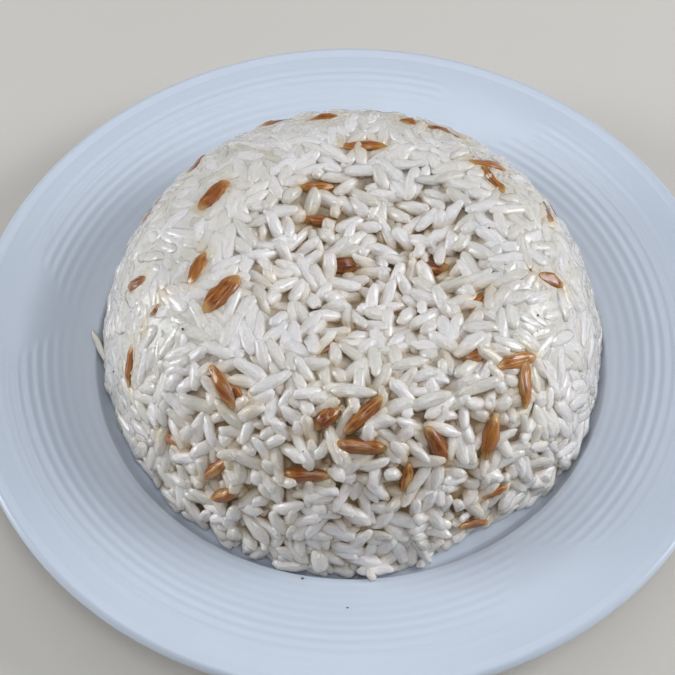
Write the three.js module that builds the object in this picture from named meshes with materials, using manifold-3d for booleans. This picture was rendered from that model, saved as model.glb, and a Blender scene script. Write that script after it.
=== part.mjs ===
// Rice pilaf with toasted orzo, turned out of a bowl onto a small white rimmed plate.
// Millimetres, +Z up, +Y away from the diner, +X to the diner's right.
// The origin is the middle of the plate's foot, on the table.

import * as THREE from "three";
import { ConvexHull } from "three/addons/math/ConvexHull.js";
import { mergeVertices } from "three/addons/utils/BufferGeometryUtils.js";
import Module from "manifold-3d";

// Plate
const plateRadius = 95;
const plateHeight = 19.4;
const lipThickness = 3;
const bandEdge = 93; // where the flat outer band meets the rounded lip
const rimDrop = 6; // how far the rim falls from the band to the well
const rimCurve = 2.4; // 1 would be a straight cone
const ridgeCount = 9;
const ridgePitch = 2.5;
const outermostRidge = 85.3;
const ridgeRise = 0.5;
const wellFloor = 8.5; // top of the flat middle
const wellRadius = 62.4; // where the well's wall would meet the floor if it had no fillet
const wellFillet = 1.8;
const footRadius = 57.5;
const footWidth = 4.5;
const footHeight = 3.2;
const plateSides = 48;

// Mound of rice
const moundX = 0.2;
const moundY = 2.9;
const moundRadius = 63;
const moundHeight = 42; // above the well's floor
const sidePower = 5.33; // how square the shoulder is
const topPower = 1.51; // how flat the top is
const viewHeight = 6; // height over the floor of the point that the surface is laid out from
const dimple = { x: 4.5, y: 1.5, radius: 25, depth: 4.2 };
const slumps = [
  // pushed out or pulled in at the foot: azimuth and half width in degrees, reach in mm
  { azimuth: -96, width: 26, reach: 2.3 },
  { azimuth: -58, width: 13, reach: -2.4 },
  { azimuth: -36, width: 12, reach: 1.4 },
  { azimuth: -148, width: 14, reach: -0.8 },
];
const clearOfPlate = 0.3;

// Grains
const riceLength = 9;
const riceWidth = 3.3;
const orzoLength = 11;
const orzoWidth = 3.9;
const loosePieces = 70;
const hiddenOrzo = 9; // those on the far side, placed by rule
const grainGap = 3.7; // between the crests of two grains
const valleyGap = 2.4; // between a crest and a hollow

// The toasted orzo of the near side and the top: azimuth and climb of its middle, seen from the
// laying-out point, then its lie from level, all in degrees, and its length over the usual one.
const toastedOrzo = [
  [152, 42, 170, 1], [-174, 43, 153, 0.9], [-159, 47, 118, 1.1], [-178, 26, 85, 0.8],
  [-159, 17, 129, 0.9], [-131, 34, 158, 1], [-137, 14, 26, 0.7], [-124, 15, 63, 0.9],
  [-120, 10, 45, 0.9], [-102, 22, 11, 1], [-98, 36, 47, 0.8], [-87, 37, 42, 1.1],
  [-88, 30, 173, 1.1], [-68, 27, 105, 1], [-54, 23, 56, 1], [-36, 33, 149, 1],
  [-38, 28, 47, 1.1], [-77, 21, 74, 0.7], [-62, 2, 149, 1], [-56, 7, 176, 0.8],
  [-45, 41, 141, 0.7], [-5, 32, 90, 0.8], [22, 26, 150, 1], [41, 35, 57, 1.1],
  [35, 38, 177, 0.9], [85, 47, 6, 1.1], [99, 36, 9, 1], [72, 35, 165, 0.8],
  [61, 32, 14, 1], [112, 57, 162, 1], [123, 66, 151, 0.8], [-24, 47, 177, 0.8],
];

// One grain leans out of the side, its tip clear of the heap.
const strayGrain = { azimuth: -177, climb: 1, lie: 80, pitch: 40, sunk: -0.9 };

// The same random numbers on every run.
function seededDraws(seed) {
  let state = seed;
  return () => {
    state = (state + 0x6d2b79f5) >>> 0;
    let mixed = Math.imul(state ^ (state >>> 15), state | 1);
    mixed ^= mixed + Math.imul(mixed ^ (mixed >>> 7), mixed | 61);
    return ((mixed ^ (mixed >>> 14)) >>> 0) / 2 ** 32;
  };
}

const degrees = THREE.MathUtils.degToRad;

// ---- plate ----

const innermostRidge = outermostRidge - ridgePitch * (ridgeCount - 1);
const wellEdge = innermostRidge - ridgePitch / 2;

// The rim's surface without its ridges.
function rimTop(radius) {
  const inward = Math.max(0, (bandEdge - radius) / (bandEdge - wellEdge));
  return plateHeight - 0.5 - rimDrop * inward ** rimCurve;
}

// The plate's upper surface from the axis to the lip, moved up and in by a clearance.
function upperProfile(clearance) {
  const floorEdge = new THREE.Vector2(wellRadius - wellFillet, wellFloor);
  const corner = new THREE.Vector2(wellRadius, wellFloor);
  const wallTop = new THREE.Vector2(wellEdge, rimTop(wellEdge));
  const wall = new THREE.QuadraticBezierCurve(floorEdge, corner, wallTop).getPoints(4);
  const points = [new THREE.Vector2(0, wellFloor), ...wall];
  for (let ridge = ridgeCount - 1; ridge >= 0; ridge--) {
    const crest = outermostRidge - ridgePitch * ridge;
    points.push(new THREE.Vector2(crest, rimTop(crest) + ridgeRise / 2));
    const groove = crest + ridgePitch / 2;
    points.push(new THREE.Vector2(groove, rimTop(groove) - ridgeRise / 2));
  }
  points.push(new THREE.Vector2(bandEdge - 3, rimTop(bandEdge - 3)));
  points.push(new THREE.Vector2(bandEdge, plateHeight - 0.4));
  return points.map((p, i) => {
    const raised = i < 2 ? p.y : p.y + clearance;
    return new THREE.Vector2(i < 1 ? 0 : p.x - clearance, raised);
  });
}

// A closed profile of (radius, height) points turned about the vertical axis.
function turned(profile) {
  const lathe = new THREE.LatheGeometry(profile, plateSides);
  return lathe.rotateX(Math.PI / 2);
}

function plateGeometry() {
  const lip = [];
  const lipMiddle = plateHeight - lipThickness / 2;
  for (let step = 1; step < 6; step++) {
    const turn = Math.PI * (0.5 - step / 6);
    const out = plateRadius - lipThickness / 2 + (Math.cos(turn) * lipThickness) / 2;
    lip.push(new THREE.Vector2(out, lipMiddle + (Math.sin(turn) * lipThickness) / 2));
  }
  const footInside = footRadius - footWidth;
  const underside = [
    new THREE.Vector2(bandEdge, plateHeight - lipThickness),
    new THREE.Vector2(82, rimTop(82) - 3.6),
    new THREE.Vector2(72, rimTop(72) - 4.3),
    new THREE.Vector2(64, 6.6),
    new THREE.Vector2(footRadius + 1, footHeight + 0.4),
    new THREE.Vector2(footRadius, 0.8),
    new THREE.Vector2(footRadius - 0.8, 0),
    new THREE.Vector2(footInside + 0.8, 0),
    new THREE.Vector2(footInside, 0.8),
    new THREE.Vector2(footInside - 1.2, footHeight),
    new THREE.Vector2(0, footHeight),
  ];
  return turned([...upperProfile(0), ...lip, ...underside].reverse());
}

// The space over the plate's floor is left open, and everything under it is cut away.
function platePress() {
  const top = upperProfile(clearOfPlate);
  const outside = top[top.length - 1].x;
  const below = [new THREE.Vector2(outside, -5), new THREE.Vector2(0, -5)];
  return turned([...top, ...below].reverse());
}

// ---- mound ----

const layingOut = new THREE.Vector3(moundX, moundY, wellFloor + viewHeight);

// How far the foot is pushed out at an azimuth, fading with height.
function slumpAt(azimuth, height) {
  let reach = 0;
  for (const slump of slumps) {
    const off = THREE.MathUtils.euclideanModulo(azimuth - slump.azimuth + 180, 360) - 180;
    reach += slump.reach * Math.exp(-((off / slump.width) ** 2));
  }
  return reach * THREE.MathUtils.clamp(1 - height / 26, 0, 1);
}

// Above 1 outside the smooth dome, below 1 inside it.
function domeLevel(point) {
  const x = point.x - moundX;
  const y = point.y - moundY;
  const height = point.z - wellFloor;
  const fromDimple = Math.hypot(point.x - dimple.x, point.y - dimple.y) / dimple.radius;
  const lifted = Math.max(0, height + dimple.depth * Math.exp(-(fromDimple ** 4)));
  const azimuth = THREE.MathUtils.radToDeg(Math.atan2(y, x));
  const reach = moundRadius + slumpAt(azimuth, height);
  return (Math.hypot(x, y) / reach) ** sidePower + (lifted / moundHeight) ** topPower;
}

// Where a ray from the laying-out point leaves the dome.
function onDome(direction) {
  let inside = 0;
  let outside = 90;
  const point = new THREE.Vector3();
  for (let step = 0; step < 22; step++) {
    const middle = (inside + outside) / 2;
    point.copy(layingOut).addScaledVector(direction, middle);
    if (domeLevel(point) < 1) {
      inside = middle;
    } else {
      outside = middle;
    }
  }
  return point;
}

function directionAt(azimuth, climb) {
  const level = Math.cos(degrees(climb));
  return new THREE.Vector3(
    level * Math.cos(degrees(azimuth)),
    level * Math.sin(degrees(azimuth)),
    Math.sin(degrees(climb)),
  );
}

// A place on the dome with its outward normal and the level and uphill directions along it.
function placeOnDome(direction) {
  const at = onDome(direction);
  const reach = 0.4;
  const slope = (axis) => {
    const ahead = at.clone().addScaledVector(axis, reach);
    const behind = at.clone().addScaledVector(axis, -reach);
    return domeLevel(ahead) - domeLevel(behind);
  };
  const normal = new THREE.Vector3(
    slope(new THREE.Vector3(1, 0, 0)),
    slope(new THREE.Vector3(0, 1, 0)),
    slope(new THREE.Vector3(0, 0, 1)),
  ).normalize();
  const level = new THREE.Vector3(-direction.y, direction.x, 0);
  level.addScaledVector(normal, -level.dot(normal)).normalize();
  const uphill = new THREE.Vector3().crossVectors(normal, level);
  return { at, normal, level, uphill };
}

// Loose and open in the dimple and low at the front, pressed smooth at the sides.
function looseness(point) {
  const fromDimple = Math.hypot(point.x - dimple.x, point.y - dimple.y) / dimple.radius;
  const front = THREE.MathUtils.smoothstep(-point.y, 10, 50);
  const top = Math.exp(-(fromDimple ** 2)) * (point.z > wellFloor + 25 ? 1 : 0);
  return THREE.MathUtils.clamp(0.45 + 0.55 * Math.max(front, top), 0, 1);
}

// Remembers points in a grid of cells, to ask quickly how near the next one comes.
function neighbourhood(cell) {
  const cells = new Map();
  const key = (x, y, z) => x + 200 * (y + 200 * z);
  const index = (value) => Math.floor(value / cell) + 100;
  return {
    add(point) {
      const at = key(index(point.x), index(point.y), index(point.z));
      if (!cells.has(at)) cells.set(at, []);
      cells.get(at).push(point);
    },
    crowded(point, distance) {
      for (let x = index(point.x) - 1; x <= index(point.x) + 1; x++) {
        for (let y = index(point.y) - 1; y <= index(point.y) + 1; y++) {
          for (let z = index(point.z) - 1; z <= index(point.z) + 1; z++) {
            for (const other of cells.get(key(x, y, z)) ?? []) {
              if (other.distanceTo(point) < distance) return true;
            }
          }
        }
      }
      return false;
    },
  };
}

// Three points along the back of a grain that lies on the dome.
function crestLine(place, lie, length) {
  const along = place.level.clone().multiplyScalar(Math.cos(degrees(lie)));
  along.addScaledVector(place.uphill, Math.sin(degrees(lie)));
  return [-length / 3.2, 0, length / 3.2].map((s) => place.at.clone().addScaledVector(along, s));
}

function randomDirection(draw, lowest) {
  const rise = THREE.MathUtils.lerp(Math.sin(degrees(lowest)), 1, draw());
  const climb = THREE.MathUtils.radToDeg(Math.asin(rise));
  return directionAt(360 * draw(), climb);
}

// The heap's skin: a crest of three points along each grain and hollows between the grains.
function bumpySkin(draw, crests) {
  const seeds = []; // each a direction from the laying-out point and how far to lift the skin
  const hollows = neighbourhood(4);
  for (let attempt = 0; attempt < 30000; attempt++) {
    const place = placeOnDome(randomDirection(draw, -9));
    const crest = crestLine(place, 360 * draw(), riceLength);
    if (crest.some((point) => crests.crowded(point, grainGap))) continue;
    crest.forEach((point) => crests.add(point));
    const loose = looseness(place.at);
    const lean = (draw() - 0.5) * 1.5 * loose;
    const lift = 0.55 + (0.2 + 0.8 * draw()) * loose;
    crest.forEach((point, i) => {
      const direction = point.clone().sub(layingOut).normalize();
      seeds.push({ direction, lift: lift + lean * (i - 1) - (i === 1 ? 0 : 0.35) });
    });
  }
  for (let attempt = 0; attempt < 60000; attempt++) {
    const direction = randomDirection(draw, -9);
    const at = onDome(direction);
    if (crests.crowded(at, valleyGap) || hollows.crowded(at, valleyGap * 1.2)) continue;
    hollows.add(at);
    seeds.push({ direction, lift: -0.5 - 0.9 * looseness(at) });
  }
  return seeds;
}

// Rings of points that close the skin below the plate's floor.
function underside() {
  const rings = [
    [-14, 40],
    [-24, 24],
    [-45, 12],
    [-90, 1],
  ];
  const points = [];
  for (const [climb, count] of rings) {
    for (let i = 0; i < count; i++) points.push(directionAt((360 * i) / count, climb));
  }
  return points;
}

// One closed skin through the seeds: the hull of their directions says who is whose neighbour.
function moundCore(draw, crests) {
  const places = new Map();
  for (const { direction, lift } of bumpySkin(draw, crests)) {
    const at = onDome(direction);
    const normalLift = placeOnDome(direction).normal.multiplyScalar(lift);
    places.set(direction, at.add(normalLift));
  }
  const below = wellFloor - 1.5;
  for (const direction of underside()) {
    const sink = (below - layingOut.z) / direction.z;
    const reach = Math.min(sink, moundRadius - 2);
    const at = layingOut.clone().addScaledVector(direction, reach);
    at.z = below;
    places.set(direction, at);
  }
  const hull = new ConvexHull().setFromPoints([...places.keys()]);
  const positions = [];
  for (const face of hull.faces) {
    let edge = face.edge;
    do {
      const at = places.get(edge.head().point);
      positions.push(at.x, at.y, at.z);
      edge = edge.next;
    } while (edge !== face.edge);
  }
  const geometry = new THREE.BufferGeometry();
  geometry.setAttribute("position", new THREE.Float32BufferAttribute(positions, 3));
  return geometry;
}

// A grain: an icosahedron with two of its corners at the ends of its length.
function grainGeometry(length, width, place, lie, pitch, sunk) {
  const grain = new THREE.IcosahedronGeometry(1, 0);
  const golden = (1 + Math.sqrt(5)) / 2;
  const tip = new THREE.Vector3(0, 1, golden).normalize();
  const alongX = new THREE.Quaternion().setFromUnitVectors(tip, new THREE.Vector3(1, 0, 0));
  grain.applyQuaternion(alongX);
  grain.scale(length / 2, width / 2, width / 2.3);
  const along = place.level.clone().multiplyScalar(Math.cos(degrees(lie)));
  along.addScaledVector(place.uphill, Math.sin(degrees(lie)));
  along.multiplyScalar(Math.cos(degrees(pitch)));
  along.addScaledVector(place.normal, Math.sin(degrees(pitch)));
  const across = new THREE.Vector3().crossVectors(place.normal, along).normalize();
  const outward = new THREE.Vector3().crossVectors(along, across);
  const middle = place.at.clone().addScaledVector(place.normal, -sunk);
  const matrix = new THREE.Matrix4().makeBasis(along, across, outward).setPosition(middle);
  grain.applyMatrix4(matrix);
  return grain;
}

function closestToPlate(geometry) {
  geometry.computeBoundingBox();
  return geometry.boundingBox.min.z - wellFloor;
}

// Orzo first, then the loose rice that stands proud, spread evenly and clear of the orzo.
// Their backs are kept among the crests, so that the skin makes no bumps under them.
function layPieces(draw, crests) {
  const pieces = [];
  const taken = neighbourhood(9);
  const lay = (grain, place, lie, length) => {
    pieces.push(grain);
    taken.add(place.at);
    for (const point of crestLine(place, lie, length)) crests.add(point);
  };
  for (const [azimuth, climb, lie, stretch] of toastedOrzo) {
    const place = placeOnDome(directionAt(azimuth, climb));
    const length = orzoLength * stretch;
    lay(grainGeometry(length, orzoWidth, place, lie, 0, 0.2), place, lie, length);
  }
  while (pieces.length < toastedOrzo.length + hiddenOrzo) {
    const place = placeOnDome(directionAt(18 + 144 * draw(), 4 + 26 * draw()));
    const lie = 180 * draw();
    if (taken.crowded(place.at, 8.9)) continue;
    lay(grainGeometry(orzoLength, orzoWidth, place, lie, 0, 0.2), place, lie, orzoLength);
  }
  const all = pieces.length + loosePieces;
  for (let attempt = 0; attempt < 20000 && pieces.length < all; attempt++) {
    const place = placeOnDome(randomDirection(draw, -4));
    const loose = looseness(place.at);
    if (draw() > loose || taken.crowded(place.at, 7.6)) continue;
    const length = riceLength * (0.9 + 0.25 * draw());
    const lie = 180 * draw();
    const pitch = (draw() - 0.5) * 44 * loose;
    const grain = grainGeometry(length, riceWidth, place, lie, pitch, 0.35);
    if (closestToPlate(grain) < clearOfPlate) continue;
    lay(grain, place, lie, length);
  }
  const { azimuth, climb, lie, pitch, sunk } = strayGrain;
  const stray = placeOnDome(directionAt(azimuth, climb));
  pieces.push(grainGeometry(riceLength, riceWidth, stray, lie, pitch, sunk));
  return pieces;
}

// ---- solids ----

const wasm = await Module();
wasm.setup();

function solidOf(geometry) {
  const bare = new THREE.BufferGeometry();
  const loose = geometry.index ? geometry.toNonIndexed() : geometry;
  bare.setAttribute("position", loose.getAttribute("position"));
  const merged = mergeVertices(bare, 1e-3);
  const mesh = new wasm.Mesh({
    numProp: 3,
    vertProperties: merged.getAttribute("position").array,
    triVerts: new Uint32Array(merged.index.array),
  });
  return new wasm.Manifold(mesh);
}

function geometryOf(solid) {
  const mesh = solid.getMesh();
  const geometry = new THREE.BufferGeometry();
  geometry.setAttribute("position", new THREE.BufferAttribute(mesh.vertProperties, 3));
  geometry.setIndex(new THREE.BufferAttribute(mesh.triVerts, 1));
  geometry.computeVertexNormals();
  return geometry;
}

function pilafGeometry() {
  const draw = seededDraws(407);
  const crests = neighbourhood(4);
  const pieces = layPieces(draw, crests);
  let heap = solidOf(moundCore(draw, crests));
  for (const piece of pieces) heap = heap.add(solidOf(piece));
  const bodies = heap.subtract(solidOf(platePress())).decompose();
  bodies.sort((a, b) => b.volume() - a.volume());
  return geometryOf(bodies[0]);
}

// ---- the plate and its pilaf ----

const porcelain = new THREE.MeshStandardMaterial({
  color: 0xcbd7e6,
  roughness: 0.16,
  metalness: 0,
});
const cookedRice = new THREE.MeshStandardMaterial({
  color: 0xdedcd2,
  roughness: 0.38,
  metalness: 0,
  flatShading: true,
});

const plate = new THREE.Mesh(plateGeometry(), porcelain);
plate.name = "plate";

const pilaf = new THREE.Mesh(pilafGeometry(), cookedRice);
pilaf.name = "rice_pilaf";

const group = new THREE.Group();
group.add(plate, pilaf);

export default group;
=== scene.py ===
import math

import bmesh
import bpy
import numpy as np
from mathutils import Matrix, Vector, kdtree


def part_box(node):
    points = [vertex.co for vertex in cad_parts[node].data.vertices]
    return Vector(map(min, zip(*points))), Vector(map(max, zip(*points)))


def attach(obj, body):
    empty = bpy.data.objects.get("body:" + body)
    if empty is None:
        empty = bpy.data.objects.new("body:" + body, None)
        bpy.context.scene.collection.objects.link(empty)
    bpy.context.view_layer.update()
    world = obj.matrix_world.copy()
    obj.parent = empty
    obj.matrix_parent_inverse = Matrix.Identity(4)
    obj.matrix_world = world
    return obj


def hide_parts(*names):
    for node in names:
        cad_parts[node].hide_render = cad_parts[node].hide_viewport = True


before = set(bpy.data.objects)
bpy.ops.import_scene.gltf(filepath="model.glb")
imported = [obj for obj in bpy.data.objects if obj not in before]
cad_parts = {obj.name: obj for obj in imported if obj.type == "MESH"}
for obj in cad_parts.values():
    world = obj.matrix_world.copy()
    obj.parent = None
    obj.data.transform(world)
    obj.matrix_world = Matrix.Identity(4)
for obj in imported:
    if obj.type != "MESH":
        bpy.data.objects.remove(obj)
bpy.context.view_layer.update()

# A dome of rice pilaf on a ridged white plate. Sizes below are in millimetres, meshes in metres.
mm = 0.001
heapLow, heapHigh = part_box("rice_pilaf")
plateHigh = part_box("plate")[1]
draw = np.random.default_rng(407)


def smoothStep(low, high, value):
    t = np.clip((value - low) / (high - low), 0.0, 1.0)
    return t * t * (3.0 - 2.0 * t)


def unit(vectors):
    return vectors / np.maximum(np.linalg.norm(vectors, axis=-1, keepdims=True), 1e-9)


# camera

camera = {
    "elevation": 56.7,
    "distance": 4.75,  # in plate radii
    "lens": 97.2,
    "aimX": -3.4,
    "aimY": -1.2,
}


def makeCamera():
    data = bpy.data.cameras.new("camera")
    data.lens = camera["lens"]
    data.sensor_width = 36
    data.clip_start = 0.01
    made = bpy.data.objects.new("camera", data)
    bpy.context.scene.collection.objects.link(made)
    rise = math.radians(camera["elevation"])
    away = camera["distance"] * plateHigh.x
    aim = Vector((camera["aimX"] * mm, camera["aimY"] * mm, plateHigh.z))
    back = Vector((0, -math.cos(rise), math.sin(rise)))
    made.location = aim + back * away
    made.rotation_mode = "QUATERNION"
    made.rotation_quaternion = (-back).to_track_quat("-Z", "Y")
    bpy.context.scene.camera = made


# materials

def newMaterial(name, values):
    material = bpy.data.materials.new(name)
    material.use_nodes = True
    tree = material.node_tree
    shader = tree.nodes["Principled BSDF"]
    for key, value in values.items():
        shader.inputs[key].default_value = value
    return material, tree, shader


def addNode(tree, kind, values=None, **settings):
    made = tree.nodes.new(kind)
    for key, value in settings.items():
        setattr(made, key, value)
    for key, value in (values or {}).items():
        made.inputs[key].default_value = value
    return made


def noiseOn(tree, coordinates, scale, detail, roughness=0.5):
    values = {"Scale": scale, "Detail": detail, "Roughness": roughness}
    made = addNode(tree, "ShaderNodeTexNoise", values)
    tree.links.new(coordinates, made.inputs["Vector"])
    return made.outputs["Fac"]


def objectPlace(tree):
    return addNode(tree, "ShaderNodeTexCoord").outputs["Object"]


def attributeOf(tree, name):
    return addNode(tree, "ShaderNodeAttribute", attribute_name=name)


def rampOf(tree, factor, stops):
    ramp = addNode(tree, "ShaderNodeValToRGB")
    elements = ramp.color_ramp.elements
    while len(elements) < len(stops):
        elements.new(0.5)
    for element, (place, colour) in zip(elements, stops):
        element.position = place
        element.color = (*colour, 1)
    tree.links.new(factor, ramp.inputs["Fac"])
    return ramp.outputs["Color"]


# Fades a value in from one level to another, as a number from base to base + strength.
def stepOf(tree, factor, low, high, strength, base=0.0):
    fade = addNode(tree, "ShaderNodeMapRange")
    ends = (("From Min", low), ("From Max", high), ("To Min", base), ("To Max", base + strength))
    for key, value in ends:
        fade.inputs[key].default_value = value
    tree.links.new(factor, fade.inputs["Value"])
    return fade.outputs["Result"]


# Lays a colour over another, as far as the factor says.
def mixColours(tree, factor, under, over):
    mix = addNode(tree, "ShaderNodeMix", data_type="RGBA")
    factorSlot, underSlot, overSlot = mix.inputs[0], mix.inputs[6], mix.inputs[7]
    tree.links.new(factor, factorSlot)
    tree.links.new(under, underSlot)
    if isinstance(over, tuple):
        overSlot.default_value = (*over, 1)
    else:
        tree.links.new(over, overSlot)
    return mix.outputs[2]


def addBump(tree, shader, height, distance, strength, under=None):
    bump = addNode(tree, "ShaderNodeBump", {"Strength": strength, "Distance": distance})
    tree.links.new(height, bump.inputs["Height"])
    if under is not None:
        tree.links.new(under, bump.inputs["Normal"])
    tree.links.new(bump.outputs["Normal"], shader.inputs["Normal"])
    return bump.outputs["Normal"]


# A plain material of two shades.
def shaded(name, scale, shades, roughness):
    material, tree, shader = newMaterial(name, {"Roughness": roughness})
    cloud = noiseOn(tree, objectPlace(tree), scale, 2)
    tree.links.new(rampOf(tree, cloud, shades), shader.inputs["Base Color"])
    return material


porcelainLook = {
    "glaze": ((0.3, (0.57, 0.617, 0.694)), (0.7, (0.596, 0.643, 0.716))),
    "polish": ((0.35, (0.28,) * 3), (0.75, (0.33,) * 3)),
    "shader": {"IOR": 1.52, "Specular IOR Level": 0.8},
}


def porcelain():
    material, tree, shader = newMaterial("white_porcelain", porcelainLook["shader"])
    place = objectPlace(tree)
    glaze = rampOf(tree, noiseOn(tree, place, 18, 2), porcelainLook["glaze"])
    tree.links.new(glaze, shader.inputs["Base Color"])
    polish = rampOf(tree, noiseOn(tree, place, 260, 3), porcelainLook["polish"])
    tree.links.new(polish, shader.inputs["Roughness"])
    addBump(tree, shader, noiseOn(tree, place, 90, 2), 0.00004, 0.5)
    return material


riceLook = {
    # clear grains from dull to bright, then what is laid over them, the last two painted light: a
    # peach glow near the toasted pieces and painted shade on grains that lie deep
    "clear": ((0.0, (0.61, 0.553, 0.462)), (0.5, (0.765, 0.71, 0.667)), (1.0, (0.845, 0.79, 0.765))),
    "chalk": (0.88, 0.825, 0.805),
    "mottle": (0.70, 0.638, 0.555),
    "yellow": (0.73, 0.668, 0.52),
    "toastGlow": (0.674, 0.511, 0.296),
    "paintedShade": (0.51, 0.345, 0.155),
    "shader": {
        "IOR": 1.42,
        "Subsurface Weight": 0.35,
        "Subsurface Radius": (1.0, 0.9, 0.75),
        "Subsurface Scale": 0.0034,
        "Coat Weight": 0.65,
        "Coat Roughness": 0.13,
    },
}


def cookedRice():
    material, tree, shader = newMaterial("cooked_rice", riceLook["shader"])
    shader.subsurface_method = "BURLEY"
    place = objectPlace(tree)
    keys = ("tone", "belly", "paintedShade", "toastGlow")
    tone, belly, paintedShade, toastGlow = (attributeOf(tree, key).outputs["Fac"] for key in keys)
    chalky = mixColours(tree, belly, rampOf(tree, tone, riceLook["clear"]), riceLook["chalk"])
    along = addNode(tree, "ShaderNodeMapping", {"Scale": (0.3, 1.0, 1.0)})
    tree.links.new(attributeOf(tree, "local").outputs["Vector"], along.inputs["Vector"])
    mottle = noiseOn(tree, along.outputs["Vector"], 0.9, 3, 0.6)
    spotted = mixColours(tree, stepOf(tree, mottle, 0.35, 0.75, 0.4), chalky, riceLook["mottle"])
    patch = noiseOn(tree, place, 85, 2)
    yellowed = mixColours(tree, stepOf(tree, patch, 0.45, 0.72, 0.4), spotted, riceLook["yellow"])
    # Painted glow: rice near the toasted pieces is tinted peach.
    toastGlowed = mixColours(tree, toastGlow, yellowed, riceLook["toastGlow"])
    # Painted shade: grains that lie deep under the dome turn a darker, warmer brown.
    tree.links.new(mixColours(tree, paintedShade, toastGlowed, riceLook["paintedShade"]), shader.inputs["Base Color"])
    tree.links.new(stepOf(tree, mottle, 0.3, 0.7, 0.2, 0.14), shader.inputs["Roughness"])
    fine = addBump(tree, shader, noiseOn(tree, place, 900, 3, 0.6), 0.0004, 0.8)
    addBump(tree, shader, mottle, 0.0006, 0.7, fine)
    return material


massLook = {
    # starch up to the pressed surface, and the painted shade, a dark brown, that shows between loose
    # grains
    "near": ((0.3, (0.665, 0.603, 0.49)), (0.7, (0.81, 0.755, 0.705))),
    "far": ((0.3, (0.32, 0.2, 0.082)), (0.7, (0.545, 0.4, 0.235))),
    "shader": {
        "Roughness": 0.42,
        "IOR": 1.42,
        "Subsurface Weight": 0.12,
        "Subsurface Radius": (1.0, 0.9, 0.75),
        "Subsurface Scale": 0.0034,
        "Coat Weight": 0.45,
        "Coat Roughness": 0.18,
    },
}


def heapMass():
    material, tree, shader = newMaterial("rice_inside", massLook["shader"])
    shader.subsurface_method = "BURLEY"
    place = objectPlace(tree)
    patch = noiseOn(tree, place, 220, 4, 0.6)
    near = rampOf(tree, patch, massLook["near"])
    far = rampOf(tree, patch, massLook["far"])
    paintedShade = attributeOf(tree, "paintedShade").outputs["Fac"]
    # Painted shade: where the grains lie loose the core turns dark brown, for the shade in the gaps
    # between them.
    tree.links.new(mixColours(tree, paintedShade, near, far), shader.inputs["Base Color"])
    addBump(tree, shader, noiseOn(tree, place, 500, 4, 0.65), 0.0009, 0.9)
    return material


orzoLook = {
    # pieces from dark to light, then the marks on them, whose light streaks are partly toast colour
    # and partly painted highlight on the ridges
    "roast": ((0.0, (0.182, 0.04, 0.006)), (0.5, (0.31, 0.09, 0.015)), (1.0, (0.449, 0.165, 0.028))),
    "streakAndHighlight": (0.599, 0.261, 0.051),
    "burnt": (0.107, 0.02, 0.005),
    "golden": (0.556, 0.251, 0.042),
    "tip": (0.663, 0.411, 0.139),
    "shader": {
        "Roughness": 0.24,
        "IOR": 1.45,
        "Subsurface Weight": 0.3,
        "Subsurface Radius": (1.0, 0.4, 0.15),
        "Subsurface Scale": 0.0008,
        "Coat Weight": 0.5,
        "Coat Roughness": 0.12,
    },
}


def toastedOrzo():
    material, tree, shader = newMaterial("toasted_orzo", orzoLook["shader"])
    local = attributeOf(tree, "local").outputs["Vector"]
    tone = attributeOf(tree, "tone").outputs["Fac"]
    tip = attributeOf(tree, "belly").outputs["Fac"]
    stretch = addNode(tree, "ShaderNodeMapping", {"Scale": (0.08, 1.0, 1.0)})
    tree.links.new(local, stretch.inputs["Vector"])
    fibre = noiseOn(tree, stretch.outputs["Vector"], 1.9, 2, 0.5)
    roast = rampOf(tree, tone, orzoLook["roast"])
    # Light streaks along the fibres: partly toast colour, partly painted highlight on the ridges.
    streakedAndLit = mixColours(tree, stepOf(tree, fibre, 0.52, 0.7, 0.75), roast, orzoLook["streakAndHighlight"])
    burnt = mixColours(tree, stepOf(tree, fibre, 0.45, 0.33, 0.75), streakedAndLit, orzoLook["burnt"])
    blotch = noiseOn(tree, local, 0.35, 2)
    golden = mixColours(tree, stepOf(tree, blotch, 0.5, 0.8, 0.45), burnt, orzoLook["golden"])
    tipped = mixColours(tree, stepOf(tree, tip, 0.4, 1.0, 0.75), golden, orzoLook["tip"])
    tree.links.new(tipped, shader.inputs["Base Color"])
    addBump(tree, shader, fibre, 0.0005, 0.6)
    return material


# making pieces

def finishMesh(name, bm, material, smooth=True):
    data = bpy.data.meshes.new(name)
    bm.to_mesh(data)
    bm.free()
    return addPiece(name, data, material, smooth)


def addPiece(name, data, material, smooth=True):
    data.polygons.foreach_set("use_smooth", np.full(len(data.polygons), smooth))
    data.materials.append(material)
    data.update()
    made = bpy.data.objects.new(name, data)
    bpy.context.scene.collection.objects.link(made)
    return made


def moveVertices(bm, places):
    for vertex, place in zip(bm.verts, places):
        vertex.co = place


def verticesOf(bm):
    return np.array([vertex.co[:] for vertex in bm.verts])


# plate

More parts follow.
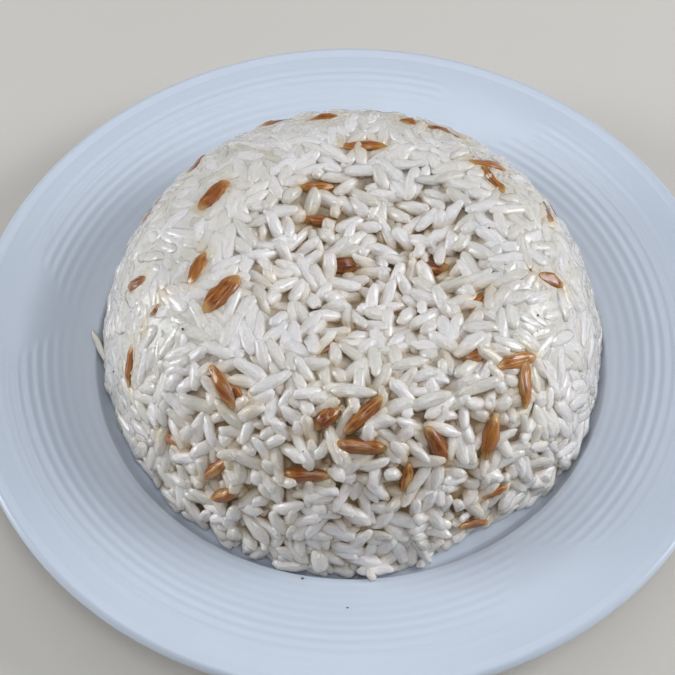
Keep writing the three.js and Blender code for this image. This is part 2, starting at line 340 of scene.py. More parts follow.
plate = {
    "band": 93.0,  # where the flat outer band meets the rounded lip
    "lip": 3.0,
    "lipMiddle": 17.9,
    "rimDrop": 6.0,
    "rimCurve": 2.4,
    "bandDrop": 0.5,  # how far the band lies below the top of the lip
    "bandGap": 1.2,  # between the band's edge and the last point of the rim's top
    "ridges": 9,
    "pitch": 2.5,
    "outermost": 85.3,
    "ridgeHeight": 0.1,
    "well": 62.4,
    "fillet": 1.8,
    "foot": 57.5,
    "footWidth": 4.5,
    "footHeight": 3.2,
    "footEdge": 0.8,  # rounding of the foot's edges
    "footCut": 0.25,  # how far the rounding's middle lies inside the corner
    # radius and thickness of the rim from the outside in, then points down to the foot
    "thickness": ((90, 3.1), (86, 3.3), (82, 3.6), (77, 3.9), (72, 4.3), (68, 4.9)),
    "underside": ((64, 6.6), (61, 4.7)),
    "turns": 360,
    "wallSteps": 8,
    "rimSteps": 84,
    "lipSteps": 11,
    "lipFrom": 112,  # the lip's round runs from this angle, in degrees, through this many
    "lipSweep": 202,
    "wedges": (-55.0, 63.0, 174.0),  # azimuths of the plain wedges in the ridges
    "wedgeReach": 16.0,
    "wedgeFrom": 68.0,  # radius where a wedge starts to open, and how far on it is fully open
    "wedgeRun": 15.6,
    "wedgeDip": 10.5,
    "bentRidges": 2.5,  # how many ridges bend, and their height over the others'
    "bentHeight": 0.55,
}
wellFloor = heapLow.z / mm
innermostRidge = plate["outermost"] - plate["pitch"] * (plate["ridges"] - 1)
wellEdge = innermostRidge - plate["pitch"] / 2
bandTop = plate["lipMiddle"] + plate["lip"] / 2 - plate["bandDrop"]


def rimTop(radius):
    inward = np.maximum(0.0, (plate["band"] - radius) / (plate["band"] - wellEdge))
    return bandTop - plate["rimDrop"] * inward ** plate["rimCurve"]


# The ridges run round the rim. At each wedge the inner ones stop and the outer three bend
# inwards, one inside the other.
def rimRelief(radius, azimuth):
    turned = [np.abs((azimuth - wedge + 180) % 360 - 180) for wedge in plate["wedges"]]
    aside = np.radians(np.min(turned, axis=0)) * radius
    pitch, outermost = plate["pitch"], plate["outermost"]
    opened = np.clip((radius - plate["wedgeFrom"]) / plate["wedgeRun"], 0, 1)
    halfWidth = plate["wedgeReach"] * opened**1.2
    outside = smoothStep(0.2, 2.6, aside - halfWidth)
    rings = 0.5 + 0.5 * np.cos(2 * np.pi * (radius - outermost) / pitch)
    ringBand = smoothStep(wellEdge - 0.3, wellEdge + 0.6, radius)
    ringBand = ringBand * (1 - 0.65 * smoothStep(outermost + 0.4, outermost + 1.4, radius))
    ringBand = ringBand * (1 - smoothStep(outermost + 2.4, outermost + 3.6, radius))
    rings = rings * ringBand * outside
    near = np.clip(aside / plate["wedgeReach"], 0, 1)
    dipped = radius + plate["wedgeDip"] * (1 - near) ** 2 * (1 + 0.9 * near)
    bent = 0.5 + 0.5 * np.cos(2 * np.pi * (dipped - outermost) / pitch)
    innerLimit = outermost - plate["bentRidges"] * pitch
    bentBand = smoothStep(innerLimit - 0.3, innerLimit + 0.4, dipped)
    bentBand = bentBand * (1 - smoothStep(outermost + 1.0, outermost + 2.0, dipped))
    bent = plate["bentHeight"] * bent * bentBand * (1 - outside)
    return plate["ridgeHeight"] * np.maximum(rings, bent)


def plateProfile():
    edge = plate["well"] - plate["fillet"]
    points = [(0.0, wellFloor), (edge * 0.5, wellFloor), (edge * 0.9, wellFloor)]
    wallHeight = rimTop(wellEdge) - wellFloor
    for step in range(plate["wallSteps"] + 1):
        t = step / plate["wallSteps"]
        reach = edge * (1 - t) ** 2 + 2 * plate["well"] * t * (1 - t) + wellEdge * t**2
        points.append((reach, wellFloor + wallHeight * t**2))
    rimWidth = plate["band"] - plate["bandGap"] - wellEdge
    for step in range(1, plate["rimSteps"] + 1):
        reach = wellEdge + rimWidth * step / plate["rimSteps"]
        points.append((reach, float(rimTop(reach))))
    half = plate["lip"] / 2
    outer = plateHigh.x / mm - half
    for step in range(1, plate["lipSteps"] + 1):
        turn = math.radians(plate["lipFrom"] - plate["lipSweep"] * step / plate["lipSteps"])
        points.append((outer + math.cos(turn) * half, plate["lipMiddle"] + math.sin(turn) * half))
    for reach, thick in plate["thickness"]:
        points.append((reach, float(rimTop(reach)) - thick))
    points += plate["underside"]
    foot, inside = plate["foot"], plate["foot"] - plate["footWidth"]
    height, corner, cut = plate["footHeight"], plate["footEdge"], plate["footCut"]
    points += [(foot + 1, height + 0.4), (foot + 0.2, height - 1)]
    points += [(foot, corner), (foot - cut, cut), (foot - corner, 0.0)]
    points += [(inside + corner, 0.0), (inside + cut, cut), (inside, corner)]
    points += [(inside - 0.2, height - 1), (inside - 1.2, height)]
    points += [(inside * 0.6, height), (0.0, height)]
    return points


def makePlate():
    bm = bmesh.new()
    corners = [bm.verts.new((reach * mm, 0, height * mm)) for reach, height in plateProfile()]
    for first, second in zip(corners, corners[1:]):
        bm.edges.new((first, second))
    bmesh.ops.spin(
        bm, geom=bm.verts[:] + bm.edges[:], cent=(0, 0, 0), axis=(0, 0, 1),
        angle=2 * math.pi, steps=plate["turns"], use_merge=True, use_duplicate=False,
    )
    bmesh.ops.remove_doubles(bm, verts=bm.verts, dist=1e-6)
    bmesh.ops.recalc_face_normals(bm, faces=bm.faces)
    places = verticesOf(bm)
    radius = np.hypot(places[:, 0], places[:, 1]) / mm
    azimuth = np.degrees(np.arctan2(places[:, 1], places[:, 0]))
    onRim = (np.abs(places[:, 2] / mm - rimTop(radius)) < 0.02) & (radius > wellEdge - 0.1)
    places[:, 2] += np.where(onRim, rimRelief(radius, azimuth), 0.0) * mm
    moveVertices(bm, places)
    made = finishMesh("ridged_plate", bm, porcelain())
    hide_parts("plate")
    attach(made, "root")


# heap

dome = {
    "x": 0.2,
    "y": 2.9,
    "radius": 63.0,
    "height": 42.0,
    "sidePower": 5.33,  # how square the shoulder is
    "topPower": 1.51,  # how flat the top is
    "viewHeight": 6.0,  # height over the floor of the point that the surface is laid out from
    "dimple": (4.5, 1.5, 25.0, 4.2),  # place, radius and depth
    # the foot pushed out or pulled in: azimuth, half width in degrees, reach
    "slumps": ((-96, 26, 2.8), (-58, 13, -2.4), (-36, 12, 1.4), (-148, 14, -0.8)),
    "slumpHeight": 26.0,  # height over the floor where a slump has faded out
    "looseTop": 1.25,  # radius of the loose grains on top, in radii of the dimple
    "looseHeight": 25.0,  # and how high over the floor they start
    "looseFrom": (12.0, 40.0),  # how far to the front they start to lie loose, and lie fully loose
    "looseSides": (30.0, 52.0),  # how far to the sides half of that fades out
}
layingOut = np.array((dome["x"], dome["y"], wellFloor + dome["viewHeight"]))


# Above 1 outside the smooth dome, below 1 inside it.
def domeLevel(points):
    x = points[..., 0] - dome["x"]
    y = points[..., 1] - dome["y"]
    height = points[..., 2] - wellFloor
    dimpleX, dimpleY, dimpleRadius, dimpleDepth = dome["dimple"]
    away = np.hypot(points[..., 0] - dimpleX, points[..., 1] - dimpleY) / dimpleRadius
    lifted = np.maximum(0.0, height + dimpleDepth * np.exp(-(away**4)))
    azimuth = np.degrees(np.arctan2(y, x))
    slump = sum(
        reach * np.exp(-((((azimuth - at + 180) % 360 - 180) / width) ** 2))
        for at, width, reach in dome["slumps"]
    )
    reach = dome["radius"] + slump * np.clip(1 - height / dome["slumpHeight"], 0, 1)
    aside = np.hypot(x, y) / reach
    return aside ** dome["sidePower"] + (lifted / dome["height"]) ** dome["topPower"]


def directionAt(azimuth, climb):
    azimuth, climb = np.radians(azimuth), np.radians(climb)
    level = np.cos(climb)
    return np.stack([level * np.cos(azimuth), level * np.sin(azimuth), np.sin(climb)], -1)


# Finds the dome's surface along each direction by halving the gap between inside and outside.
def reachAlong(directions):
    farthest, halvings = 90.0, 24
    inside = np.zeros(directions.shape[:-1])
    outside = np.full(directions.shape[:-1], farthest)
    for _ in range(halvings):
        middle = (inside + outside) / 2
        within = domeLevel(layingOut + directions * middle[..., None]) < 1
        inside = np.where(within, middle, inside)
        outside = np.where(within, outside, middle)
    return inside


# How far the dome reaches from the laying-out point, kept on a grid of azimuth and climb.
gridStep = 1.5
gridLowest = -30
gridAzimuth = np.arange(-180, 180 + gridStep, gridStep)
gridClimb = np.arange(gridLowest, 90 + gridStep, gridStep)
gridReach = reachAlong(directionAt(*np.meshgrid(gridAzimuth, gridClimb, indexing="ij")))


def onDome(directions):
    azimuth = np.degrees(np.arctan2(directions[..., 1], directions[..., 0]))
    climb = np.degrees(np.arcsin(np.clip(directions[..., 2], -1, 1)))
    column = (azimuth + 180) / gridStep
    row = np.clip((climb - gridLowest) / gridStep, 0, len(gridClimb) - 1.001)
    c, r = column.astype(int) % (len(gridAzimuth) - 1), row.astype(int)
    u, v = column - np.floor(column), row - r
    reach = (
        gridReach[c, r] * (1 - u) * (1 - v)
        + gridReach[c + 1, r] * u * (1 - v)
        + gridReach[c, r + 1] * (1 - u) * v
        + gridReach[c + 1, r + 1] * u * v
    )
    return layingOut + directions * reach[..., None]


def normalAt(places):
    nudges = np.eye(3) * 0.4
    slope = [domeLevel(places + nudge) - domeLevel(places - nudge) for nudge in nudges]
    return unit(np.stack(slope, -1))


# How deep a point lies under the dome's surface, and which way is out.
def depthUnder(points):
    directions = unit(points - layingOut)
    surface = onDome(directions)
    normal = normalAt(surface)
    return np.sum((surface - points) * normal, -1), normal


# 1 where the grains lie loose, in the dimple and towards the front; 0 where the bowl pressed them.
def looseness(points):
    dimpleX, dimpleY, dimpleRadius, _ = dome["dimple"]
    away = np.hypot(points[..., 0] - dimpleX, points[..., 1] - dimpleY) / dimpleRadius
    highUp = points[..., 2] > wellFloor + dome["looseHeight"]
    top = np.exp(-((away / dome["looseTop"]) ** 4)) * highUp
    sides = smoothStep(*dome["looseSides"], np.abs(points[..., 0]))
    front = smoothStep(*dome["looseFrom"], -points[..., 1]) * (1 - 0.5 * sides)
    return np.clip(np.maximum(top, front), 0, 1)


wall = {
    # radius at the floor, height where the wall opens out, and how far out it goes for each
    # millimetre up, below that height and above it
    "foot": 61.0,
    "bend": 4.3,
    "low": 0.7,
    "high": 3.0,
}


# The plate's wall round the well: how far out a point may be at its height.
def wellLimit(height):
    low = np.clip(height - wellFloor, 0, wall["bend"])
    high = np.maximum(0, height - wellFloor - wall["bend"])
    return wall["foot"] + low * wall["low"] + high * wall["high"]


# Toasted orzo: azimuth and climb of its middle, seen from the laying-out point, and its lie
# from level, all in degrees; then its length and width over the usual ones, and its depth in
# half widths.
toastedPieces = (
    (152, 42, 170, 1.0, 1.2, 0.1), (-174, 43, 153, 0.85, 0.9, 0.3), (-159, 47, 118, 1.1, 1.4, 0.2),
    (-178, 26, 85, 0.65, 1.0, 0.3), (-159, 17, 129, 0.95, 0.6, 0.2), (-131, 34, 158, 1.1, 0.9, 0.1),
    (-137, 14, 26, 0.5, 0.8, 0.6), (-124, 15, 63, 0.8, 0.8, 0.5), (-120, 10, 45, 0.85, 0.85, 0.3),
    (-102, 22, 11, 1.05, 0.9, 0.7), (-98, 36, 47, 0.7, 1.0, 0.6), (-87, 37, 42, 1.1, 1.0, 0.3),
    (-88, 30, 173, 1.1, 0.95, 0.4), (-68, 27, 105, 1.0, 1.05, 0.3), (-54, 23, 56, 1.0, 1.0, 0.2),
    (-36, 33, 149, 1.0, 0.9, 0.2), (-38, 28, 47, 1.1, 0.85, 0.1), (-77, 21, 74, 0.7, 0.8, 1.0),
    (-62, 0, 149, 0.9, 0.6, 0.1), (-56, 7, 176, 0.65, 0.55, 0.2), (-45, 41, 141, 0.6, 0.8, 0.9),
    (-5, 32, 90, 0.7, 0.85, 0.2), (22, 26, 150, 0.9, 0.8, 0.2), (41, 35, 57, 1.0, 0.8, 0.2),
    (35, 38, 177, 0.9, 0.7, 0.3), (85, 47, 6, 1.1, 0.75, 0.3), (99, 34, 9, 0.7, 0.7, 0.2),
    (72, 33, 165, 0.5, 0.8, 0.2), (61, 31, 14, 0.9, 0.55, 0.1), (112, 57, 162, 0.8, 0.75, 0.8),
    (123, 66, 151, 0.7, 0.8, 1.1), (-24, 47, 177, 0.7, 0.9, 0.9), (-179, 86, 89, 0.9, 1.0, 1.1),
    (-3, 61, 88, 0.9, 1.0, 1.1), (-100, 55, 52, 0.8, 0.8, 1.2), (-160, 57, 138, 0.8, 0.9, 1.4),
    (-126, 35, 160, 0.4, 0.45, 0.1), (-165, 31, 120, 0.35, 0.4, 0.2),
)

grain = {
    "length": 10.0,
    "width": 3.4,
    "thickness": 3.0,
    "orzoLength": 11.0,
    "orzoWidth": 4.0,
    # grains for each square millimetre of the dome, and how deep under it they may lie, where
    # pressed and where loose
    "layers": ((0.066, 2.0, 3.9), (0.05, 4.3, 7.2)),
    # where pressed, and what looseness adds to it: how far the tops may stand over the dome, the
    # tilt out of its surface, the share of broken grains and the roll about their own length
    "roof": (0.2, 1.1),
    "tilt": (0.1, 0.65),
    "broken": (0.06, 0.12),
    "roll": (0.12, 0.5),
    "lengthSpread": 0.1,
    "widthSpread": 0.07,
    "liftSpread": 0.12,  # how unevenly the bowl pressed them
    "orzoLift": 0.1,
    "tone": (0.5, 0.28),  # mean and spread of the shade, and of the chalky middle
    "belly": (0.25, 0.3),
    "looseBelly": 0.25,  # how much chalkier the loose ones are
    "riceSides": (8, 7),  # round a grain and along it
    "orzoSides": (14, 12),
    "rounds": 70,
    "softness": 0.68,
    "pairsEvery": 7,  # rounds between two searches for grains that may touch
    "pairReach": 4.4,
    "dents": 0.16,
    "orzoDents": 0.08,
    "paintedShadeFrom": 1.1,  # depth where painted shade starts to darken the grains, and run over which it does
    "paintedShadeRun": 2.6,
}
ballPlaces = np.array((-0.8, -0.42, 0.0, 0.42, 0.8))
ballSizes = np.array((0.6, 0.9, 1.0, 0.9, 0.6))


# Two directions along the surface: level, and uphill.
def tangents(directions, normal):
    level = np.stack([-directions[..., 1], directions[..., 0], np.zeros(directions.shape[:-1])], -1)
    level = unit(level - normal * np.sum(level * normal, -1, keepdims=True))
    return level, np.cross(normal, level)


# Toasted pieces on the far side: how many, from which azimuth and climb through how many
# degrees, how far apart, and their length, width and depth.
farOrzo = {
    "count": 9,
    "azimuth": (18, 144),
    "climb": (4, 26),
    "apart": 11,
    "look": (1.0, 0.9, 0.3),
}


# What a layer's grains share: whether they stay put, whether they are orzo, and how deep they
# may lie.
def grainMarks(count, fixed=False, orzo=False, deepest=9.0):
    return {
        "deepest": np.full(count, deepest),
        "fixed": np.full(count, fixed),
        "orzo": np.full(count, orzo),
    }


def layOrzo():
    rows = [list(row) for row in toastedPieces]
    while len(rows) < len(toastedPieces) + farOrzo["count"]:
        azimuth = farOrzo["azimuth"][0] + farOrzo["azimuth"][1] * draw.random()
        climb = farOrzo["climb"][0] + farOrzo["climb"][1] * draw.random()
        lie = 180 * draw.random()
        apart = [abs(azimuth - other[0]) + abs(climb - other[1]) for other in rows]
        if min(apart) > farOrzo["apart"]:
            rows.append([azimuth, climb, lie, *farOrzo["look"]])
    azimuth, climb, lie, stretch, girth, depth = np.array(rows).T
    directions = directionAt(azimuth, climb)
    surface = onDome(directions)
    normal = normalAt(surface)
    level, uphill = tangents(directions, normal)
    lie = np.radians(lie)[:, None]
    sunk = 0.2 + depth * grain["orzoWidth"] / 2
    return {
        "centre": surface - normal * sunk[:, None],
        "axis": level * np.cos(lie) + uphill * np.sin(lie),
        "half": stretch * grain["orzoLength"] / 2,
        "thick": grain["orzoWidth"] / 2 * girth,
        **grainMarks(len(rows), fixed=True, orzo=True),
    }


# The few grains that stick out at the foot: one end, the other end, and the girth over the
# usual one.
strayGrains = (
    ((-65.3, 4.2, 15.0), (-61.8, -3.9, 12.2), 0.6),
    ((-8.3, -58.6, 17.4), (-7.7, -62.6, 12.6), 1.3),
    ((0.8, -62.0, 13.2), (9.8, -61.8, 13.2), 0.95),
    ((3.4, -61.9, 14.0), (5.1, -64.9, 14.1), 0.6),
)


def layStray():
    first, second, girth = (np.array(column, float) for column in zip(*strayGrains))
    length = np.linalg.norm(second - first, axis=-1)
    return {
        "centre": (first + second) / 2,
        "axis": (second - first) / length[:, None],
        "half": length / 2,
        "thick": grain["width"] / 2 * girth,
        **grainMarks(len(length), fixed=True),
    }


# A setting of the grains that grows with looseness.
def byLooseness(key, loose):
    pressed, added = grain[key]
    return pressed + added * loose


evenSteps = (0.7548776662, 0.5698402910)  # steps round and up that spread points evenly


# Spreads the grains of one layer evenly over the dome.
def layRice(perArea, deepestPressed, deepestLoose):
    azimuth, climb = np.meshgrid(gridAzimuth[:-1], gridClimb[:-1], indexing="ij")
    half = gridStep / 2
    corner = onDome(directionAt(azimuth, climb))
    right = onDome(directionAt(azimuth + half, climb)) - corner
    above = onDome(directionAt(azimuth, climb + half)) - corner
    area = 4 * np.linalg.norm(np.cross(right, above), axis=-1)
    belts = np.cumsum(np.where(corner[..., 2] > wellFloor, area, 0).sum(0))
    count = int(perArea * belts[-1])
    steps = np.arange(count)[:, None] * evenSteps + draw.random(2)
    scatter = 0.15 / math.sqrt(count)
    steps = (steps + draw.normal(0, scatter, (count, 2))) % 1
    climb = np.interp(steps[:, 1] * belts[-1], belts, gridClimb[:-1] + half)
    directions = directionAt(360 * steps[:, 0] - 180, climb)
    surface = onDome(directions)
    normal = normalAt(surface)
    loose = looseness(surface)
    level, uphill = tangents(directions, normal)
    turn = (2 * np.pi * draw.random(count))[:, None]
    tilt = draw.normal(size=count) * byLooseness("tilt", loose)
    deepest = deepestPressed + (deepestLoose - deepestPressed) * loose
    length = grain["length"] * draw.normal(1.0, grain["lengthSpread"], count).clip(0.66, 1.2)
    broken = draw.random(count) < byLooseness("broken", loose)
    length = np.where(broken, length * (0.45 + 0.3 * draw.random(count)), length)
    girth = draw.normal(1.0, grain["widthSpread"], count).clip(0.8, 1.15)
    return {
        "centre": surface - normal * (0.75 * deepest)[:, None],
        "axis": unit(level * np.cos(turn) + uphill * np.sin(turn) + normal * tilt[:, None]),
        "half": length / 2,
        "thick": grain["width"] / 2 * girth,
        **grainMarks(count, deepest=deepest),
    }


def touchingPairs(balls, owner, reach):
    tree = kdtree.KDTree(len(balls))
    for i, ball in enumerate(balls.tolist()):
        tree.insert(ball, i)
    tree.balance()
    first, second = [], []
    for i, ball in enumerate(balls.tolist()):
        for _, j, _ in tree.find_range(ball, reach):
            if j > i and owner[j] != owner[i]:
                first.append(i)
                second.append(j)
    return np.array(first), np.array(second)


# Pushes the grains apart under the dome until they fit, the toasted pieces staying put.
def settle(heap):
    count = len(heap["half"])
    lever = heap["half"][:, None] * ballPlaces
    size = (heap["thick"][:, None] * ballSizes * grain["softness"]).ravel()
    owner = np.repeat(np.arange(count), len(ballPlaces))
    free = np.where(heap["fixed"], 0.0, 1.0)
    weight = free[owner]
    deepest, lift = heap["deepest"][owner], draw.random(count)[owner]
    for step in range(grain["rounds"]):
        # five balls stand for a grain
        balls = (heap["centre"][:, None] + heap["axis"][:, None] * lever[..., None]).reshape(-1, 3)
        if step % grain["pairsEvery"] == 0:
            first, second = touchingPairs(balls, owner, grain["pairReach"])
        apart = balls[first] - balls[second]
        distance = np.linalg.norm(apart, axis=-1)
        overlap = size[first] + size[second] - distance
        near = overlap > 0
        i, j = first[near], second[near]
        share = overlap[near] / np.maximum(distance[near], 0.05) / np.maximum(weight[i] + weight[j], 1)
        move = apart[near] * share[:, None] * 0.5
        push = np.zeros_like(balls)
        for k in range(3):
            push[:, k] += np.bincount(i, move[:, k], len(balls))
            push[:, k] -= np.bincount(j, move[:, k], len(balls))
        # back under the dome but not too deep, over the floor and inside the plate's wall
        depth, normal = depthUnder(balls)
        roof = byLooseness("roof", looseness(balls) * lift)
        above = np.maximum(0, size - roof - depth)
        below = np.maximum(0, depth - deepest)
        push += normal * (below * 0.4 - above)[:, None]
        push[:, 2] += np.maximum(0, wellFloor + size - balls[:, 2])
        outward = np.hypot(balls[:, 0], balls[:, 1])
        beyond = np.maximum(0, outward + size * 0.8 - wellLimit(balls[:, 2]))
        push[:, :2] -= balls[:, :2] / outward[:, None] * beyond[:, None]
        # a grain moves and turns as its balls are pushed
        moves = push.reshape(count, -1, 3)
        busy = np.maximum(1, (np.abs(moves).sum(-1) > 1e-6).sum(-1))
        heap["centre"] += moves.sum(1) * (free / busy)[:, None]
        spin = (moves * lever[..., None]).sum(1) / (lever**2).sum(1)[:, None]
        heap["axis"] = unit(heap["axis"] + free[:, None] * spin * 0.8)
    return heap


# One grain about the origin, a unit long each way, with blunt or pointed ends and a slight bend.
def grainForm(segments, rings, bluntness, bend, lean, square=0.0, crease=0.0):
    bm = bmesh.new()
    bmesh.ops.create_uvsphere(bm, u_segments=segments, v_segments=rings, radius=1)
    places = verticesOf(bm)
    along = places[:, 2] * (1.12 - 0.12 * places[:, 2] ** 2)
    around = np.hypot(places[:, 0], places[:, 1])
    angle = np.arctan2(places[:, 1], places[:, 0])
    girth = (1 - np.abs(along) ** bluntness) ** 0.5 * (1 + lean * along)
    girth = np.where(around < 1e-6, 0, girth)
    creaseWidth, squareTurn = 0.35, 0.8
    fromCrease = (np.abs(angle) - np.pi / 2) / creaseWidth
    girth = girth * (1 - crease * np.exp(-(fromCrease**2)) * (angle > 0))
    girth = girth * (1 + square * np.cos(4 * angle + squareTurn))
    shaped = np.stack([along, girth * np.cos(angle), girth * np.sin(angle)], -1)
    shaped[:, 1] += bend * (1 - along**2)
    faces = [[vertex.index for vertex in face.verts] for face in bm.faces]
    bm.free()
    return shaped, faces


# The kinds of grain: how blunt the ends are, the bend, the lean towards one end, and how square
# the section is; then, for the orzo alone, how deep the crease along it is.
riceLooks = (
    (2.8, 0.06, 0.05, 0.06), (2.5, -0.1, 0.1, 0.06), (3.2, 0.12, 0.0, 0.06), (2.4, 0.0, -0.12, 0.06),
    (2.9, -0.16, 0.06, 0.06), (3.4, 0.05, 0.08, 0.06), (2.6, 0.18, -0.05, 0.06),
)
orzoLooks = ((2.0, 0.08, 0.05, 0, 0.16), (1.8, -0.12, -0.08, 0, 0.2))


# One grain of the heap, from its form about the origin.
def placeGrain(heap, index, shape):
    axis, normal = heap["axis"][index], heap["normal"][index]
    out = unit(normal - axis * np.dot(normal, axis))
    across = np.cross(out, axis)
    roll = heap["roll"][index]
    out = out * math.cos(roll) + across * math.sin(roll)
    across = np.cross(out, axis)
    thick = heap["thick"][index]
    flat = 1.0 if heap["orzo"][index] else grain["thickness"] / grain["width"]
    return (
        heap["centre"][index]
        + axis * shape[:, :1] * heap["half"][index]
        + across * shape[:, 1:2] * thick
        + out * shape[:, 2:3] * thick * flat
    )


# How pale a grain is at each corner: rice in its middle, orzo at its ends and sides.
def palenessOf(heap, index, shape):
    ends = np.abs(shape[:, 0]) ** 1.5
    if heap["orzo"][index]:
        return np.maximum(ends, 0.7 * np.abs(shape[:, 1]) ** 3)
    return heap["belly"][index] * (1 - ends)


def grainMesh(name, heap, chosen, forms, material):
    allPlaces, allFaces, tones, bellies, ownPlaces = [], [], [], [], []
    offset, patternShift = 0, 7.0
    for index in np.flatnonzero(chosen):
        shape, faces = forms[index % len(forms)]
        allPlaces.append(placeGrain(heap, index, shape))
        allFaces += [[corner + offset for corner in face] for face in faces]
        offset += len(shape)
        tones.append(np.full(len(shape), heap["tone"][index]))
        bellies.append(palenessOf(heap, index, shape))
        half, thick = heap["half"][index], heap["thick"][index]
        ownPlaces.append(shape * (half, thick, thick) + index * patternShift)
    orzo = heap["orzo"][chosen].all()
    places = roughen(np.concatenate(allPlaces), grain["orzoDents"] if orzo else grain["dents"])
    # Painted shade: how far a corner lies under the dome sets how much darker and browner it is
    # coloured.
    paintedShade = np.clip((depthUnder(places)[0] - grain["paintedShadeFrom"]) / grain["paintedShadeRun"], 0, 1)
    # painted glow of the toasted pieces on the rice near them
    toastGlow = toastGlowOf(places, heap)
    corners = [len(grown) for grown in allPlaces]
    stray = heap["fixed"] & ~heap["orzo"]
    lift = np.repeat(heap["lift"][chosen], corners)
    places = pressFlat(places, lift, np.repeat(stray[chosen], corners))
    places[:, 2] = np.clip(places[:, 2], wellFloor + 0.05, heapHigh.z / mm - 0.05)
    data = bpy.data.meshes.new(name)
    data.from_pydata((places * mm).tolist(), [], allFaces)
    for key, values in (("tone", tones), ("belly", bellies), ("paintedShade", [paintedShade]), ("toastGlow", [toastGlow])):
        layer = data.attributes.new(key, "FLOAT", "POINT")
        layer.data.foreach_set("value", np.concatenate(values).astype(np.float32))
    layer = data.attributes.new("local", "FLOAT_VECTOR", "POINT")
    layer.data.foreach_set("vector", np.concatenate(ownPlaces).astype(np.float32).ravel())
    made = addPiece(name, data, material)
    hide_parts("rice_pilaf")
    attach(made, "root")
    print(name, "grains", int(chosen.sum()), "triangles", sum(len(face) - 2 for face in allFaces))
    return made


# Dents a few millimetres across, so that no two grains are alike.
def roughen(places, depth):
    x, y, z = places.T
    shift = np.stack([
        np.sin(2.1 * y + 1.4 * np.sin(1.7 * z)) + 0.7 * np.sin(3.3 * z + x),
        np.sin(2.3 * z + 1.3 * np.sin(1.9 * x)) + 0.7 * np.sin(3.1 * x + y),
        np.sin(2.0 * x + 1.5 * np.sin(1.8 * y)) + 0.7 * np.sin(3.5 * y + z),
    ], -1)
    return places + shift * depth


toastGlowSpread = {
    "reach": 4.2,  # from the middle of a toasted piece along it
    "full": 1.8,  # distance from its axis of the full painted glow and of none
    "none": 4.2,
    "strength": 0.5,
}


# Painted glow: rice near the toasted pieces is tinted peach, for the orange light that bleeds from
# them into the rice.
def toastGlowOf(places, heap):
    nearest = np.full(len(places), np.inf)
    for index in np.flatnonzero(heap["orzo"]):
        centre, axis = heap["centre"][index], heap["axis"][index]
        along = np.clip((places - centre) @ axis, -toastGlowSpread["reach"], toastGlowSpread["reach"])
        distance = np.linalg.norm(places - centre - along[:, None] * axis, axis=-1)
        nearest = np.minimum(nearest, distance)
    return toastGlowSpread["strength"] * (1 - smoothStep(toastGlowSpread["full"], toastGlowSpread["none"], nearest))


press = {
    "kept": 0.28,  # share of its depth that the outermost part keeps
    "from": 0.6,  # depth where it starts to keep more, and where nothing is pressed or lifted
    "to": 3.0,
    "loose": 0.8,  # share that looseness takes off
}


# The bowl pressed the outer grains nearly flush, each a little higher or lower than the next.
def pressFlat(places, lift, stray):
    depth, normal = depthUnder(places)
    flat = np.where(stray, 0, 1 - press["loose"] * looseness(places))
    kept = press["kept"] + (1 - press["kept"]) * smoothStep(press["from"], press["to"], depth)
    lift = lift * (1 - smoothStep(1.0, press["to"], depth))
    return places + normal * ((depth * (1 - kept) + lift) * flat + lumps(places))[:, None]


# Swellings of the whole heap, as high in the core as in the grains over it.
def lumps(places):
    x, y, z = places.T
    first = np.sin(x * 0.8 + 2 * np.sin(y * 0.31))
    second = np.sin(y * 0.7 + 2 * np.sin(z * 0.37)) * np.sin(z * 0.9 + x * 0.3)
    small = np.sin(x * 2.1 + 1.7 * np.sin(z * 1.3)) * np.sin(z * 1.9 + 1.5 * np.sin(y * 1.1 + x))
    return -0.25 + 0.26 * (first + second) + 0.14 * small


def makeHeap():
    layers = [layOrzo(), layStray()] + [layRice(*layer) for layer in grain["layers"]]
    heap = settle({key: np.concatenate([layer[key] for layer in layers]) for key in layers[0]})
    count = len(heap["half"])
    print("heap settled:", count, "grains")
    heap["normal"] = depthUnder(heap["centre"])[1]
    loose = looseness(heap["centre"])
    heap["roll"] = draw.normal(size=count) * byLooseness("roll", loose)
    uneven = draw.normal(0, grain["liftSpread"], count).clip(-0.3, 0.3)
    heap["lift"] = np.where(heap["orzo"], grain["orzoLift"], uneven)
    heap["tone"] = np.clip(draw.normal(*grain["tone"], count), 0, 1)
    heap["belly"] = np.clip(draw.normal(*grain["belly"], count) + grain["looseBelly"] * loose, 0, 1)
    riceForms = [grainForm(*grain["riceSides"], *looks) for looks in riceLooks]
    orzoForms = [grainForm(*grain["orzoSides"], *looks) for looks in orzoLooks]
    isOrzo = heap["orzo"]
    pressed = ~isOrzo & (loose < 0.5)
    riceMaterial = cookedRice()
    grainMesh("rice_pressed", heap, pressed, riceForms, riceMaterial)
    loosened = ~isOrzo & ~pressed
    grainMesh("rice_loose", heap, loosened, riceForms, riceMaterial)
    grainMesh("toasted_orzo", heap, isOrzo, orzoForms, toastedOrzo())


core = {
    "detail": 6,
    "depth": (0.04, 3.06),  # under the dome where pressed, and what looseness adds
    "bump": (0.13, 0.17),
    "underside": -0.35,  # climb, as a sine, below which the core is drawn in to a flat foot
}


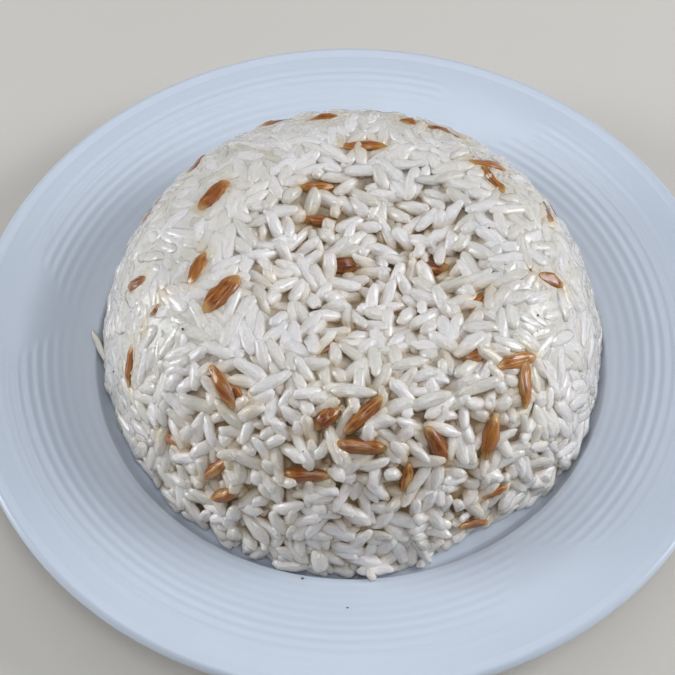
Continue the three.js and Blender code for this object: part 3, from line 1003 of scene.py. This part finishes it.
def makeCore():
    bm = bmesh.new()
    bmesh.ops.create_icosphere(bm, subdivisions=core["detail"], radius=1)
    directions = unit(verticesOf(bm))
    climb = np.maximum(directions[:, 2], core["underside"])
    surface = onDome(unit(np.stack([directions[:, 0], directions[:, 1], climb], -1)))
    normal = normalAt(surface)
    loose = looseness(surface)
    depth = core["depth"][0] + core["depth"][1] * loose
    x, y, z = surface.T
    wave = np.sin(x * 1.9 + 1.3 * np.sin(y * 1.1)) * np.sin(y * 1.7 + 1.1 * np.sin(z * 1.3))
    wave *= np.sin(z * 1.5 + x * 0.7)
    bump = core["bump"][0] + core["bump"][1] * loose
    places = surface + normal * (lumps(surface) - depth - bump * wave)[:, None]
    low = directions[:, 2] < core["underside"]
    drawnIn = 1.5 - 1.5 * np.clip(-directions[low, 2:], 0, 1)
    places[low] = layingOut + (places[low] - layingOut) * drawnIn
    places[:, 2] = np.maximum(places[:, 2], wellFloor + 0.02)
    outward = np.hypot(places[:, 0], places[:, 1])
    shrink = np.minimum(1, (wellLimit(places[:, 2]) - 0.6) / np.maximum(outward, 1))
    places[:, :2] *= shrink[:, None]
    moveVertices(bm, places * mm)
    bmesh.ops.recalc_face_normals(bm, faces=bm.faces)
    made = finishMesh("rice_inside", bm, heapMass())
    # The looseness sets how far the core turns to its painted shade.
    layer = made.data.attributes.new("paintedShade", "FLOAT", "POINT")
    layer.data.foreach_set("value", loose.astype(np.float32))
    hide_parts("rice_pilaf")
    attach(made, "root")


# Specks of pepper on the rice, by azimuth and climb, and on the plate, by place; their size.
specks = (
    (-5, 38, 0.34), (-24, 40, 0.28), (-19, 34, 0.32), (-153, 36, 0.38), (-164, 8, 0.34),
    (-120, 39, 0.2), (-103, 28, 0.24), (13, 46, 0.3), (46, 37, 0.22), (-136, 34, 0.26),
)
platePepper = ((-11.6, -64.2, 0.5), (-1.2, -72.9, 0.35))
pepperShades = ((0.35, (0.045, 0.028, 0.018)), (0.7, (0.2, 0.13, 0.08)))


def makePepper():
    bm = bmesh.new()
    azimuth, climb, size = np.array(specks).T
    surface = onDome(directionAt(azimuth, climb))
    surface += normalAt(surface) * (0.15 + lumps(surface))[:, None]
    spots = [(*place, width) for place, width in zip(surface.tolist(), size)]
    for x, y, width in platePepper:
        spots.append((x, y, float(rimTop(max(wellEdge, math.hypot(x, y)))) + 0.1, width))
    for x, y, z, width in spots:
        made = bmesh.ops.create_icosphere(bm, subdivisions=1, radius=width * mm)
        for vertex in made["verts"]:
            vertex.co *= 0.45 + 0.9 * draw.random()
            vertex.co += Vector((x, y, z)) * mm
    material = shaded("ground_pepper", 1500, pepperShades, 0.6)
    made = finishMesh("pepper_specks", bm, material, smooth=False)
    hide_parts("rice_pilaf")
    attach(made, "root")


# floor and light

studio = {
    "floorShades": ((0.3, (0.642, 0.591, 0.528)), (0.7, (0.674, 0.622, 0.556))),
    "floorReach": 4,  # metres from the middle to each side
    "skyColour": (0.85, 0.92, 1.0, 1),
    "skyStrength": 0.195,
}
lights = {
    # name: place and aim in metres, width, height, watts, colour
    "window": ((-0.06, 0.03, 1.28), (-0.06, 0, 0), 0.15, 2.0, 3.6, (0.88, 0.93, 1.0)),
    "right": ((1.0, 0.15, 0.6), (0, 0, 0), 0.5, 0.5, 9.0, (0.89, 0.94, 1.0)),
    "left": ((-1.2, 0.2, 0.42), (0, 0, 0), 0.5, 0.5, 9.4, (0.89, 0.94, 1.0)),
    "front": ((0.1, -0.45, 1.27), (0, 0, 0), 0.4, 0.4, 3.0, (0.89, 0.94, 1.0)),
}


def makeStage():
    bm = bmesh.new()
    bmesh.ops.create_grid(bm, x_segments=8, y_segments=8, size=studio["floorReach"])
    finishMesh("floor", bm, shaded("pale_floor", 3, studio["floorShades"], 0.7))
    for name, (place, aim, width, height, watts, colour) in lights.items():
        data = bpy.data.lights.new(name, "AREA")
        data.shape = "RECTANGLE"
        data.size, data.size_y = width, height
        data.energy, data.color = watts, colour
        made = bpy.data.objects.new(name, data)
        bpy.context.scene.collection.objects.link(made)
        made.location = place
        made.rotation_mode = "QUATERNION"
        made.rotation_quaternion = (Vector(place) - Vector(aim)).to_track_quat("Z", "Y")
    world = bpy.data.worlds.new("studio")
    world.use_nodes = True
    background = world.node_tree.nodes["Background"]
    background.inputs["Color"].default_value = studio["skyColour"]
    background.inputs["Strength"].default_value = studio["skyStrength"]
    bpy.context.scene.world = world
    bpy.context.scene.view_settings.view_transform = "Standard"


makeCamera()
makeStage()
print("stage ready")
makePlate()
print("plate made")
makeCore()
makeHeap()
makePepper()
print("heap made")
